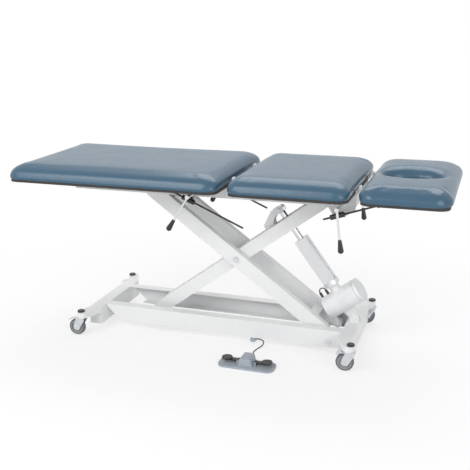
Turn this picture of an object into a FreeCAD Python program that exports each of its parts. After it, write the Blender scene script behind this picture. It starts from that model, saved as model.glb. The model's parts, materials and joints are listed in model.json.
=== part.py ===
import FreeCAD, Part
import math
import os
import Sketcher

# Hi-lo treatment table: three padded sections on a scissor lift, with an electric actuator, casters and a
# foot switch. Millimetres, +Z up, +X towards the head end. The origin is on the floor, in the middle of
# the ground that the whole table covers.

doc = FreeCAD.newDocument("TreatmentTable")
sheet = doc.addObject("Spreadsheet::Sheet", "Sizes")
nodes = []


class Size:
    """A length or an angle in degrees that carries the sheet formula it comes from."""

    def __init__(self, value, text):
        self.value = float(value)
        self.text = text

    def formula(self):
        return self.text.replace("@", "Sizes.")

    def __add__(self, other):
        other = as_size(other)
        return Size(self.value + other.value, f"({self.text} + {other.text})")

    def __sub__(self, other):
        other = as_size(other)
        return Size(self.value - other.value, f"({self.text} - {other.text})")

    def __mul__(self, other):
        other = as_size(other)
        return Size(self.value * other.value, f"{self.text} * {other.text}")

    def __truediv__(self, other):
        other = as_size(other)
        return Size(self.value / other.value, f"({self.text} / {other.text})")

    def __neg__(self):
        return Size(-self.value, f"(0 - {self.text})")

    __radd__ = __add__
    __rmul__ = __mul__

    def __rsub__(self, other):
        return as_size(other) - self


def as_size(value):
    return value if isinstance(value, Size) else Size(value, f"({value!r})" if value < 0 else repr(value))


def sin(angle):
    return Size(math.sin(math.radians(angle.value)), f"sin({angle.text})")


def cos(angle):
    return Size(math.cos(math.radians(angle.value)), f"cos({angle.text})")


def slope_angle(rise, run):
    """The angle of a line that rises by one size over a run of another, from the +X direction."""
    angle = math.degrees(math.atan2(rise.value, run.value))
    return Size(angle, f"(atan2({rise.text}; {run.text}) / 1 deg)")


def distance(rise, run):
    return Size(math.hypot(rise.value, run.value), f"sqrt(({rise.text}) ^ 2 + ({run.text}) ^ 2)")


rows = iter(range(1, 1000))


def size(name, value, note):
    """One driving dimension in the sheet."""
    row = next(rows)
    sheet.set(f"A{row}", note)
    sheet.set(f"B{row}", str(value))
    sheet.setAlias(f"B{row}", name)
    return Size(value, f"@{name}")


def worked_out(name, expression, note):
    """One size that the sheet works out from the driving ones."""
    row = next(rows)
    sheet.set(f"A{row}", note)
    sheet.set(f"B{row}", "=" + expression.text.replace("@", ""))
    sheet.setAlias(f"B{row}", name)
    return Size(expression.value, f"@{name}")


# Driving dimensions: the padded top
table_length = size("table_length", 1930, "length over the three pads")
table_width = size("table_width", 686, "width of the pads")
foot_pad_length = size("foot_pad_length", 1003, "length of the long pad")
head_pad_length = size("head_pad_length", 364, "length of the pad with the face hole")
pad_gap = size("pad_gap", 22, "gap between neighbouring pads")
pad_thickness = size("pad_thickness", 57, "pad above its board")
pad_corner = size("pad_corner", 56, "corner radius of a pad seen from above")
head_corner = size("head_corner", 76, "outer corner radius of the head pad")
pad_roll = size("pad_roll", 30, "radius of the pads' soft top edge")
pad_hem = size("pad_hem", 7, "radius of the pads' lower edge")
hinge_ease = size("hinge_ease", 8, "depth of the slanted lower edge of a pad at its hinges")
skirt_up = size("skirt_up", 3, "pads' lower edge above the frame they wrap their boards down to")
board_thickness = size("board_thickness", 18, "plywood under each pad")
board_inset = size("board_inset", 12, "how far the plywood stays inside the pad's edge")
hole_length = size("hole_length", 236, "face hole, along the table")
hole_width = size("hole_width", 156, "face hole, across the table")
hole_from_end = size("hole_from_end", 185, "middle of the face hole from the head end")

# Driving dimensions: the base
centreline = size("centreline", 29, "the table's middle plane from the origin")
base_inner_length = size("base_inner_length", 1122, "length of the base side rails")
rail_outer = size("rail_outer", 144, "outer face of the side rails from the middle plane")
rail_bottom = size("rail_bottom", 34, "underside of the base side rails")
rail_height = size("rail_height", 79, "height of the base side rails")
rail_flange = size("rail_flange", 44, "flange width of the channels")
steel = size("steel", 3, "wall of channels and tubes")
corner_cut = size("corner_cut", 76, "length of the slanted cut at the foot end of the base rails")
cross_width = size("cross_width", 59, "width of the base cross members")
cross_reach = size("cross_reach", 200, "half length of the base cross members")
arm_width = size("arm_width", 48, "width of a caster arm")
arm_thickness = size("arm_thickness", 25, "thickness of a caster arm")
arm_out = size("arm_out", 7, "how far a caster stands outside the cross member's outer face")
caster_y = size("caster_y", 269, "casters from the middle plane")
wheel_radius = size("wheel_radius", 38, "caster wheel radius")
wheel_width = size("wheel_width", 25, "caster wheel width")
caster_trail = size("caster_trail", 23, "wheel axle behind the swivel axis")
stem_radius = size("stem_radius", 6, "caster stems")
cap_radius = size("cap_radius", 16.5, "caps over the caster stems")
axle_radius = size("axle_radius", 4, "caster axles")
tyre_depth = size("tyre_depth", 8, "tread of the caster wheels")
brake_back = size("brake_back", 12, "hinge of a brake pedal behind the swivel axis")
brake_drop = size("brake_drop", 7.4, "hinge of a brake pedal below the top of the fork")
brake_pin_radius = size("brake_pin_radius", 1.5, "brake pedal hinge pins")
brake_reach = size("brake_reach", 60, "free end of a brake pedal behind the swivel axis")

# Driving dimensions: the scissor lift
arm_length = size("arm_length", 1071, "scissor arm between its two end pivots")
rest_angle = size("rest_angle", 36.3, "angle of the scissor arms above the floor as stored")
pivot_back = size("pivot_back", 58, "fixed pivots from the side rails' head ends")
pivot_inset = size("pivot_inset", 122, "fixed pivots from the gap before the head pad")
outer_height = size("outer_height", 66, "height of the outer arms' tube")
inner_height = size("inner_height", 58, "height of the inner arms' tube")
outer_arm_y = size("outer_arm_y", 81, "middle of an outer arm from the middle plane")
inner_arm_y = size("inner_arm_y", 47, "middle of an inner arm from the middle plane")
scissor_width = size("scissor_width", 30, "width of the arms' tube")
nose_radius = size("nose_radius", 20, "rounded end of an arm")
nose_back = size("nose_back", 42, "length of an arm's tapered end")
lower_roller_radius = size("lower_roller_radius", 25, "roller in the base channel")
upper_roller_radius = size("upper_roller_radius", 22, "roller in the top channel")
roller_width = size("roller_width", 30, "roller width")
roller_y = size("roller_y", 119, "middle of a roller from the middle plane")
cross_tube = size("cross_tube", 40, "square tubes that join the arms")
outer_tube_back = size("outer_tube_back", 115, "outer arms' cross tubes from their end pivots")
inner_tube_low = size("inner_tube_low", 105.5, "inner arms' lower cross tube from the rollers")
inner_tube_high = size("inner_tube_high", 80.5, "inner arms' upper cross tube from the top pivots")
lug_tube_back = size("lug_tube_back", 83, "cross tube that carries the lug, from the actuator's upper pin")
pin_radius = size("pin_radius", 8, "pivot pins and roller shafts")
pin_head_radius = size("pin_head_radius", 12, "heads of the pivot bolts, across their corners")
fit = size("fit", 0.05, "radial clearance of a pin in its bore")
loose = size("loose", 0.3, "clearance between parts that move past each other")

# Driving dimensions: the top frame and the hinged sections
top_rail_height = size("top_rail_height", 55, "height of the top frame's channels")
top_rail_short = size("top_rail_short", 219, "how far the top frame ends before the long pad does")
top_rail_back = size("top_rail_back", 88, "how far the channels end before the head pad's gap")
plate = size("plate", 6, "thickness of hinge plates and brackets")
foot_hinge_up = size("foot_hinge_up", 18, "hinge of the long section above the boards")
head_hinge_up = size("head_hinge_up", 15.4, "hinge of the head section above the boards")
hinge_pin_radius = size("hinge_pin_radius", 4, "section hinge pins")
hinge_eye = size("hinge_eye", 7, "radius of the hinge plates' eyes")
section_bar = size("section_bar", 18, "height of the hinged sections' side bars")
head_tie_back = size("head_tie_back", 33, "tube between the head end's side plates, from the gap")

# Driving dimensions: the actuator
motor_out = size("motor_out", 34, "actuator's lower pivot beyond the side rails' head ends")
motor_up = size("motor_up", 17, "actuator's lower pivot above the base frame")
lug_along = size("lug_along", 273, "actuator's upper pin along the inner arm from its middle")
lug_rise = size("lug_rise", 71, "actuator's upper pin above the inner arm's middle line")
tube_width = size("tube_width", 54, "actuator's outer tube")
tube_start = size("tube_start", 172, "foot of the outer tube from the lower pivot")
tube_end = size("tube_end", 424, "top of the outer tube from the lower pivot")
ram_radius = size("ram_radius", 14, "actuator's chrome ram")
ram_foot = size("ram_foot", 326, "hidden end of the ram from the lower pivot")
ram_eye = size("ram_eye", 17, "eye at the top of the ram")
drum_radius = size("drum_radius", 53, "motor housing radius")
drum_length = size("drum_length", 160, "motor housing length")
drum_up = size("drum_up", 98, "motor housing's middle from the lower pivot")
motor_eye_width = size("motor_eye_width", 28, "width of the actuator's lower eye")
motor_eye_radius = size("motor_eye_radius", 14, "actuator's lower eye")
lead_bend = size("lead_bend", 15, "bend of the motor's short lead")

# Driving dimensions: locks and levers
lock_y = size("lock_y", 180, "lock rods from the middle plane")
lock_rod_radius = size("lock_rod_radius", 4, "lock rods")
lock_radius = size("lock_radius", 11, "lock bodies")
lock_length = size("lock_length", 60, "lock bodies")
lock_pin_radius = size("lock_pin_radius", 5, "pins that carry the lock bodies")
foot_lock_back = size("foot_lock_back", 198, "long section's lock from the gap after the long pad")
foot_lock_drop = size("foot_lock_drop", 8.6, "long section's lock below the top frame")
foot_eye_back = size("foot_eye_back", 324, "lock rod's eye from the gap after the long pad")
foot_rod_overhang = size("foot_rod_overhang", 270, "free end of the long section's lock rod, from the lock")
head_lock_back = size("head_lock_back", 86, "head section's lock from the gap before the head pad")
head_lock_drop = size("head_lock_drop", 30.6, "head section's lock below the top frame")
head_eye_out = size("head_eye_out", 79, "lock rod's eye from the gap before the head pad")
head_eye_drop = size("head_eye_drop", 30.6, "lock rod's eye below the head section's board")
head_rod_overhang = size("head_rod_overhang", 62, "free end of the head section's lock rod, from the lock")
lever_y = size("lever_y", 268, "release levers from the middle plane")
lever_radius = size("lever_radius", 5, "release levers' rod")
shaft_radius = size("shaft_radius", 6, "cross shafts of the release levers")
foot_lever_back = size("foot_lever_back", 166, "long section's levers from the gap after the long pad")
foot_lever_up = size("foot_lever_up", 25.4, "long section's levers above the top frame's underside")
foot_lever_angle = size("foot_lever_angle", 238, "direction in which the long section's levers hang")
head_lever_back = size("head_lever_back", 72, "head section's levers from the gap before the head pad")
head_lever_up = size("head_lever_up", 16.4, "head section's levers above the top frame's underside")
head_lever_angle = size("head_lever_angle", 277, "direction in which the head section's levers hang")
lever_length = size("lever_length", 122, "lever's rod from its shaft to its grip")
grip_length = size("grip_length", 58, "lever grip")
grip_neck = size("grip_neck", 7, "lever grip's radius at the rod")
grip_end = size("grip_end", 12, "lever grip's radius at its free end")

# Driving dimensions: the foot switch on the floor
switch_along = size("switch_along", 205, "middle of the foot switch from the base's middle")
switch_y = size("switch_y", -355, "middle of the foot switch from the table's middle plane")
switch_length = size("switch_length", 245, "foot switch base plate")
switch_depth = size("switch_depth", 92, "foot switch base plate")
switch_plate = size("switch_plate", 9, "foot switch base plate's thickness")
tower_height = size("tower_height", 46, "top of the foot switch's middle housing")
tower_foot = size("tower_foot", 64, "foot switch's middle housing at its foot")
tower_top = size("tower_top", 44, "foot switch's middle housing at its top")
pedal_reach = size("pedal_reach", 88, "middle of a pedal from the middle of the foot switch")
pedal_radius = size("pedal_radius", 23, "pedal radius")
pedal_z = size("pedal_z", 24, "underside of the pedals' pads")
pedal_arm_width = size("pedal_arm_width", 22, "pedal arms")
pedal_pin_x = size("pedal_pin_x", 37, "pedal hinges from the middle of the foot switch")
pedal_pin_radius = size("pedal_pin_radius", 1.5, "pedal hinge pins")
cord_radius = size("cord_radius", 2.5, "foot switch cord")
gland_x = size("gland_x", -2, "where the cord leaves the foot switch, from its middle")
gland_z = size("gland_z", 17, "height at which the cord leaves the foot switch")
socket_mouth_x = size("socket_mouth_x", 144, "mouth of the foot switch cord's socket")
socket_y = size("socket_y", -123, "socket of the foot switch cord, under the near rail")

# Heights and places that follow from the driving dimensions
foot_gap_x = worked_out(
    "foot_gap_x", foot_pad_length - table_length / 2 + pad_gap / 2, "gap after the long pad")
head_gap_x = worked_out(
    "head_gap_x", table_length / 2 - head_pad_length - pad_gap / 2, "gap before the head pad")
pivot_x = worked_out("pivot_x", head_gap_x - pivot_inset, "fixed pivots of both arms, at the head end")
base_x = worked_out("base_x", pivot_x + pivot_back - base_inner_length / 2, "middle of the base frame")
rail_top = worked_out("rail_top", rail_bottom + rail_height, "top of the base")
base_pivot_z = worked_out("base_pivot_z", rail_bottom + steel + loose + lower_roller_radius, "lower pivots")
top_pivot_z = worked_out("top_pivot_z", base_pivot_z + arm_length * sin(rest_angle), "upper pivots")
top_rail_top = worked_out(
    "top_rail_top", top_pivot_z + upper_roller_radius + loose + steel, "top of the top frame")
top_rail_bottom = worked_out("top_rail_bottom", top_rail_top - top_rail_height, "underside of the top frame")
pad_bottom = worked_out("pad_bottom", top_rail_top + board_thickness, "top of the boards under the pads")
foot_hinge_z = worked_out("foot_hinge_z", pad_bottom + foot_hinge_up, "hinge of the long section")
head_hinge_z = worked_out("head_hinge_z", pad_bottom + head_hinge_up, "hinge of the head section")
top_rail_left = worked_out("top_rail_left", top_rail_short - table_length / 2, "foot end of the top frame")
head_tie_x = worked_out("head_tie_x", head_gap_x - head_tie_back, "tube that ties the head end's side plates")
top_rail_right = worked_out("top_rail_right", head_gap_x - top_rail_back, "head end of the channels")
scissor_x = worked_out("scissor_x", pivot_x - arm_length / 2 * cos(rest_angle), "scissor's centre pivot")
scissor_z = worked_out("scissor_z", base_pivot_z + arm_length / 2 * sin(rest_angle), "scissor's centre pivot")
roller_x = worked_out("roller_x", pivot_x - arm_length * cos(rest_angle), "rollers of both arms")
pin_x = worked_out("pin_x", scissor_x + lug_along * cos(rest_angle) - lug_rise * sin(rest_angle), "upper pin")
pin_z = worked_out("pin_z", scissor_z + lug_along * sin(rest_angle) + lug_rise * cos(rest_angle), "upper pin")
motor_x = worked_out("motor_x", base_x + base_inner_length / 2 + motor_out, "actuator's lower pivot")
motor_z = worked_out("motor_z", rail_top + motor_up, "actuator's lower pivot")
ram_length = worked_out("ram_length", distance(pin_z - motor_z, pin_x - motor_x), "actuator between its pins")
ram_angle = worked_out("ram_angle", slope_angle(pin_z - motor_z, pin_x - motor_x), "actuator's direction")
foot_lock_x = worked_out("foot_lock_x", foot_gap_x - foot_lock_back, "long section's lock")
foot_lock_z = worked_out("foot_lock_z", top_rail_bottom - foot_lock_drop, "long section's lock")
foot_lock_eye_x = worked_out("foot_lock_eye_x", foot_gap_x - foot_eye_back, "eye on the long section's bar")
foot_lock_eye_z = worked_out("foot_lock_eye_z", top_rail_top - section_bar / 2, "eye on its bar")
foot_rod_angle = worked_out(
    "foot_rod_angle", slope_angle(foot_lock_eye_z - foot_lock_z, foot_lock_eye_x - foot_lock_x), "lock rod")
foot_rod_reach = worked_out(
    "foot_rod_reach", distance(foot_lock_eye_z - foot_lock_z, foot_lock_eye_x - foot_lock_x), "lock to eye")
head_lock_x = worked_out("head_lock_x", head_gap_x - head_lock_back, "head section's lock")
head_lock_z = worked_out("head_lock_z", top_rail_bottom - head_lock_drop, "head section's lock")
head_lock_eye_x = worked_out("head_lock_eye_x", head_gap_x + head_eye_out, "eye on the head section's bar")
head_lock_eye_z = worked_out("head_lock_eye_z", top_rail_top - head_eye_drop, "eye on the head section's bar")
foot_lever_x = worked_out("foot_lever_x", foot_gap_x - foot_lever_back, "long section's levers")
foot_lever_z = worked_out("foot_lever_z", top_rail_bottom + foot_lever_up, "long section's levers")
head_lever_x = worked_out("head_lever_x", head_gap_x - head_lever_back, "head section's levers")
head_lever_z = worked_out("head_lever_z", top_rail_bottom + head_lever_up, "head section's levers")
switch_x = worked_out("switch_x", base_x + switch_along, "middle of the foot switch")
head_rod_angle = worked_out(
    "head_rod_angle", slope_angle(head_lock_eye_z - head_lock_z, head_lock_eye_x - head_lock_x), "lock rod")
head_rod_reach = worked_out(
    "head_rod_reach", distance(head_lock_eye_z - head_lock_z, head_lock_eye_x - head_lock_x), "lock to eye")
caster_x = worked_out(
    "caster_x", base_inner_length / 2 + cross_width + arm_out, "casters from the base's middle")
cross_x = worked_out("cross_x", (base_inner_length + cross_width) / 2, "cross members from the base's middle")
half_arm = worked_out("half_arm", arm_length / 2, "scissor arm from its middle to an end pivot")
plate_y = worked_out("plate_y", rail_outer + plate / 2, "hinge plates on the top rails' outer faces")
moving_y = worked_out("moving_y", rail_outer + plate * 1.5 + loose, "hinge plates of the moving sections")


def bind(item, name, value):
    """Ties one property of an object to the sheet."""
    item.setExpression(name, as_size(value).formula())


def put(item, at):
    for axis, value in zip("xyz", at):
        bind(item, f"Placement.Base.{axis}", value)


def new_name(stem):
    return doc.getUniqueObjectName(stem)


def draw_loop(sketch, corners):
    """Adds a closed outline to a sketch, with each corner tied to the sheet."""
    first = sketch.GeometryCount
    count = len(corners)
    flat = [FreeCAD.Vector(as_size(u).value, as_size(v).value, 0) for u, v in corners]
    for index in range(count):
        sketch.addGeometry(Part.LineSegment(flat[index], flat[(index + 1) % count]), False)
    for index in range(count):
        following = first + (index + 1) % count
        sketch.addConstraint(Sketcher.Constraint("Coincident", first + index, 2, following, 1))
    for index, corner in enumerate(corners):
        for kind, value in zip(("DistanceX", "DistanceY"), corner):
            value = as_size(value)
            made = sketch.addConstraint(Sketcher.Constraint(kind, -1, 1, first + index, 1, value.value))
            sketch.setExpression(f"Constraints[{made}]", value.formula())


def draw_circle(sketch, across, up, radius):
    """Adds a round hole to a sketch, with its centre and radius tied to the sheet."""
    across, up, radius = as_size(across), as_size(up), as_size(radius)
    circle = Part.Circle(FreeCAD.Vector(across.value, up.value, 0), FreeCAD.Vector(0, 0, 1), radius.value)
    index = sketch.addGeometry(circle, False)
    for kind, value in (("DistanceX", across), ("DistanceY", up)):
        made = sketch.addConstraint(Sketcher.Constraint(kind, -1, 1, index, 3, value.value))
        sketch.setExpression(f"Constraints[{made}]", value.formula())
    made = sketch.addConstraint(Sketcher.Constraint("Radius", index, radius.value))
    sketch.setExpression(f"Constraints[{made}]", radius.formula())


def fillet(body, radius, wanted):
    """Rounds the edges of a body's tip that a test picks out."""
    doc.recompute()
    base = body.Tip
    names = [f"Edge{i + 1}" for i, edge in enumerate(base.Shape.Edges) if wanted(edge)]
    rounded = body.newObject("PartDesign::Fillet", new_name(body.Name + "_round"))
    rounded.Base = (base, names)
    bind(rounded, "Radius", radius)
    return body


def prism(stem, plane, outline, thickness, at=(0, 0, 0), holes=(), inner=(), rounds=(), round_radius=None):
    """A profile pushed evenly to both sides of its plane: plates, channels, tubes, boards and pads."""
    body = doc.addObject("PartDesign::Body", new_name(stem))
    sketch = body.newObject("Sketcher::SketchObject", new_name(stem + "_outline"))
    origin_plane = next(item for item in body.Origin.OriginFeatures if item.Role == plane + "_Plane")
    sketch.AttachmentSupport = [(origin_plane, "")]
    sketch.MapMode = "FlatFace"
    draw_loop(sketch, outline)
    for loop in inner:
        draw_loop(sketch, loop)
    for hole in holes:
        draw_circle(sketch, *hole)
    pad = body.newObject("PartDesign::Pad", new_name(stem + "_pad"))
    pad.Profile = sketch
    pad.SideType = "Symmetric"
    bind(pad, "Length", thickness)
    if rounds:
        first, second = {"XZ": (0, 2), "XY": (0, 1), "YZ": (1, 2)}[plane]
        corners = [[as_size(value).value for value in outline[index]] for index in rounds]

        def at_corner(edge):
            ends = {(round(v.Point[first], 2), round(v.Point[second], 2)) for v in edge.Vertexes}
            return any(ends == {(round(u, 2), round(v, 2))} for u, v in corners)

        fillet(body, round_radius, at_corner)
    put(body, at)
    return body


def rod(stem, radius, length, direction, start):
    """A round bar from a starting point, along one axis."""
    bar = doc.addObject("Part::Cylinder", new_name(stem))
    bind(bar, "Radius", radius)
    bind(bar, "Height", length)
    turns = {"X": FreeCAD.Rotation(FreeCAD.Vector(0, 1, 0), 90), "Z": FreeCAD.Rotation(),
             "Y": FreeCAD.Rotation(FreeCAD.Vector(1, 0, 0), -90)}
    bar.Placement.Rotation = turns[direction]
    put(bar, start)
    return bar


def cone(stem, foot_radius, top_radius, length, direction, start):
    """A tapered round bar from a starting point, along one axis."""
    bar = doc.addObject("Part::Cone", new_name(stem))
    bind(bar, "Radius1", foot_radius)
    bind(bar, "Radius2", top_radius)
    bind(bar, "Height", length)
    turns = {"X": FreeCAD.Rotation(FreeCAD.Vector(0, 1, 0), 90), "Z": FreeCAD.Rotation(),
             "Y": FreeCAD.Rotation(FreeCAD.Vector(1, 0, 0), -90)}
    bar.Placement.Rotation = turns[direction]
    put(bar, start)
    return bar


def ball(stem, radius, centre):
    item = doc.addObject("Part::Sphere", new_name(stem))
    bind(item, "Radius", radius)
    put(item, centre)
    return item


def fuse(stem, pieces):
    item = doc.addObject("Part::MultiFuse", new_name(stem))
    item.Shapes = pieces
    return item


def cut(stem, base, tools):
    """Takes tools out of a base."""
    item = doc.addObject("Part::Cut", new_name(stem))
    item.Base = base
    item.Tool = tools[0] if len(tools) == 1 else fuse(stem + "_tools", tools)
    return item


def group(stem, pieces, at=(0, 0, 0), angle=None):
    """Pieces kept together and placed as one, turned from the +X direction towards +Z by an angle."""
    item = doc.addObject("Part::Compound", new_name(stem))
    item.Links = pieces
    if angle is not None:
        item.Placement.Rotation = FreeCAD.Rotation(FreeCAD.Vector(0, 1, 0), -as_size(angle).value)
        bind(item, "Placement.Rotation.Angle", -as_size(angle))
    put(item, at)
    return item


def mirrored(piece, normal=(0, 1, 0)):
    item = doc.addObject("Part::Mirroring", new_name(piece.Name + "_mirror"))
    item.Source = piece
    item.Normal = FreeCAD.Vector(*normal)
    return item


def both_sides(pieces):
    return list(pieces) + [mirrored(piece) for piece in pieces]


def node(label, pieces, at=(0, 0, 0)):
    """One named sub-part, set on the table's middle plane."""
    item = group("node_" + label, pieces, (at[0], centreline + at[1], at[2]))
    item.Label = label
    nodes.append(item)
    return item


def rectangle(low_u, low_v, high_u, high_v):
    return [(low_u, low_v), (high_u, low_v), (high_u, high_v), (low_u, high_v)]


def channel(stem, bottom, top, left, right):
    """An inward-facing channel along X, on the +Y side."""
    inside = rail_outer - rail_flange
    web = rail_outer - steel
    outline = [(rail_outer, bottom), (rail_outer, top), (inside, top), (inside, top - steel),
               (web, top - steel), (web, bottom + steel), (inside, bottom + steel), (inside, bottom)]
    return prism(stem, "YZ", outline, right - left, at=((left + right) / 2, 0, 0))


# Base frame: two inward-facing channels between two cross members
def base_frame():
    left = base_x - base_inner_length / 2
    right = base_x + base_inner_length / 2
    rail = channel("base_rail", rail_bottom, rail_top, left, right)
    slant = prism("slant", "XZ", [(left - 5, rail_bottom - 1), (left + corner_cut, rail_bottom - 1),
                                  (left - 5, rail_top - steel * 2)], rail_outer * 4)
    bore = rod("pivot_hole", pin_radius + fit, 50, "Y", (pivot_x, rail_outer - 40, base_pivot_z))
    node("base_rails", both_sides([cut("base_rail_cut", rail, [slant, bore])]))

    half = cross_width / 2
    tube = prism("cross_member", "XZ", rectangle(-half, rail_bottom, half, rail_top), cross_reach * 2,
                 inner=[rectangle(-half + steel, rail_bottom + steel, half - steel, rail_top - steel)])
    closure = prism("end_plate", "XZ", rectangle(-half, rail_bottom, half, rail_top - arm_thickness), steel,
                    at=(0, cross_reach + steel / 2, 0))
    member = fuse("cross_member_closed", [tube] + both_sides([closure]))
    members = [group("cross_member_at", [member], (x, 0, 0)) for x in (cross_x, -cross_x)]
    node("base_cross_members", members, (base_x, 0, 0))

    stem_hole = (caster_x, caster_y, stem_radius + fit)
    end_y = caster_y + arm_width / 2
    inner_x = cross_x - half
    outline = [(inner_x, cross_reach), (cross_x + half, cross_reach), (caster_x + arm_width / 2, end_y),
               (caster_x - arm_width / 2, end_y)]
    arm = prism("caster_arm", "XY", outline, arm_thickness, at=(0, 0, rail_top - arm_thickness / 2),
                holes=[stem_hole], rounds=(2, 3), round_radius=arm_width / 2 - 0.5)
    node("caster_arms", both_sides([arm, mirrored(arm, (1, 0, 0))]), (base_x, 0, 0))

    cap = prism("caster_cap", "XY", octagon(caster_x, caster_y, cap_radius), 8, at=(0, 0, rail_top + 4))
    fillet(cap, 3, lambda edge: all(v.Point.z > 3.9 for v in edge.Vertexes))
    node("caster_caps", both_sides([cap, mirrored(cap, (1, 0, 0))]), (base_x, 0, 0))


def octagon(across, up, radius, sides=16):
    """Corners of a regular outline around a point."""
    turns = [math.radians(360 / sides * i) for i in range(sides)]
    return [(across + radius * math.cos(turn), up + radius * math.sin(turn)) for turn in turns]


def pivot_pins():
    """Pins of the two fixed arm pivots, each with a head outside its rail."""
    lower_start = outer_arm_y - scissor_width / 2 - 2
    lower = rod("lower_pin", pin_radius, rail_outer - lower_start + 4, "Y",
                (pivot_x, lower_start, base_pivot_z))
    head = prism("pin_head", "XZ", octagon(pivot_x, base_pivot_z, pin_head_radius, 6), 7,
                 at=(0, rail_outer + 3.5, 0))
    node("lower_pivot_pins", both_sides([fuse("lower_pin_headed", [lower, head])]))

    upper_start = inner_arm_y - scissor_width / 2 - 2
    upper = rod("upper_pin", pin_radius, rail_outer - upper_start, "Y", (pivot_x, upper_start, top_pivot_z))
    collar = rod("upper_pin_collar", pin_radius + 5, 4, "Y", (pivot_x, rail_outer - steel - 4, top_pivot_z))
    node("upper_pivot_pins", both_sides([fuse("upper_pin_collared", [upper, collar])]))


def scissor_arm(stem, height, across):
    """One arm: a rectangular tube with tapered ends, and a bush at each pivot."""
    body_end = half_arm - nose_back
    tip = half_arm + nose_radius
    half = height / 2
    taper_end = half_arm - nose_radius / 2
    right = [(body_end, half), (taper_end, nose_radius), (tip, nose_radius), (tip, -nose_radius),
             (taper_end, -nose_radius), (body_end, -half)]
    left = [(-u, v) for u, v in reversed(right)]
    outline = right + [(u, v) for u, v in left]
    skin = prism(stem, "XZ", outline, scissor_width, at=(0, across, 0), rounds=(2, 3, 8, 9),
                 round_radius=nose_radius - 0.5)
    hollow = prism(stem + "_hollow", "XZ", rectangle(-tip - 5, -half + steel, tip + 5, half - steel),
                   scissor_width - steel * 2, at=(0, across, 0))
    shell = cut(stem + "_tube", skin, [hollow])
    places = (-half_arm, 0, half_arm)
    inner_face = across - scissor_width / 2
    bushes = [rod("bush", pin_radius + steel, scissor_width, "Y", (x, inner_face, 0)) for x in places]
    bores = [rod("bore", pin_radius + fit, scissor_width + 4, "Y", (x, inner_face - 2, 0)) for x in places]
    return cut(stem + "_bored", fuse(stem + "_bushed", [shell] + bushes), bores)


def box_tube(stem, width, half_length, at):
    """A square tube across the table."""
    half = width / 2
    wall = half - steel
    return prism(stem, "XZ", rectangle(-half, -half, half, half), half_length * 2, at=at,
                 inner=[rectangle(-wall, -wall, wall, wall)])


def outer_frame():
    """The bare outer arms, their cross tubes and the centre pins."""
    place = dict(at=(scissor_x, 0, scissor_z), angle=-rest_angle)
    arm = scissor_arm("outer_arm", outer_height, outer_arm_y)
    node("outer_arms", [group("outer_pair", both_sides([arm]), **place)])

    reach = outer_arm_y - scissor_width / 2
    tubes = [box_tube("outer_cross", cross_tube, reach, (x, 0, 0))
             for x in (half_arm - outer_tube_back, outer_tube_back - half_arm)]
    node("outer_cross_tubes", [group("outer_tubes", tubes, **place)])

    start = inner_arm_y - scissor_width / 2 - 2
    pin = rod("centre_pin", pin_radius, outer_arm_y + scissor_width / 2 - start, "Y", (0, start, 0))
    washer = rod("centre_washer", pin_head_radius, 3, "Y", (0, outer_arm_y + scissor_width / 2, 0))
    head = prism("centre_head", "XZ", octagon(0, 0, pin_head_radius, 6), 7,
                 at=(0, outer_arm_y + scissor_width / 2 + 6, 0))
    fixed = fuse("centre_bolt", [pin, washer, head])
    node("scissor_pins", [group("pins", both_sides([fixed]), **place)])


def inner_frame():
    """The inner arms, their cross tubes and the actuator's cranked lug."""
    place = dict(at=(scissor_x, 0, scissor_z), angle=rest_angle)
    arm = scissor_arm("inner_arm", inner_height, inner_arm_y)
    node("inner_arms", [group("inner_pair", both_sides([arm]), **place)])

    reach = inner_arm_y - scissor_width / 2
    lug_tube = lug_along - lug_tube_back
    tubes = [box_tube("inner_cross", cross_tube, reach, (x, 0, 0))
             for x in (inner_tube_low - half_arm, lug_tube, half_arm - inner_tube_high)]
    node("inner_cross_tubes", [group("inner_tubes", tubes, **place)])

    half = cross_tube / 2
    eye = ram_eye
    outline = [(lug_tube - half, half), (lug_along - eye * 6, lug_rise - 18),
               (lug_along - eye * 2, lug_rise + 18),
               (lug_along + eye, lug_rise + eye), (lug_along + eye, lug_rise - eye),
               (lug_along - 26, lug_rise - 10), (lug_along - 50, lug_rise - 22), (lug_tube + half, half)]
    ear = prism("lug_ear", "XZ", outline, plate, at=(0, ram_eye + 3 + loose, 0),
                rounds=(3, 4), round_radius=ram_eye - 3)
    bolt = prism("lug_bolt", "XZ", octagon(lug_along, lug_rise, 9, 6), 6,
                 at=(0, ram_eye + plate + 3 + loose, 0))
    node("lift_lug", [group("lug", both_sides([ear, bolt]), **place)])


def rollers():
    """Two rollers keyed to each shaft, which turns in the ends of its arms; they run in the channels."""
    for label, radius, height in (("lower_rollers", lower_roller_radius, base_pivot_z),
                                  ("upper_rollers", upper_roller_radius, top_pivot_z)):
        start = roller_y - roller_width / 2
        wheel = rod("roller", radius, roller_width, "Y", (0, start, 0))
        bore = rod("roller_bore", pin_radius + fit, roller_width + 4, "Y", (0, start - 2, 0))
        reach = roller_y + roller_width / 2 + 2
        shaft = rod("roller_shaft", pin_radius, reach * 2, "Y", (0, -reach, 0))
        node(label, both_sides([cut("roller_ring", wheel, [bore])]) + [shaft], (roller_x, 0, height))


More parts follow.
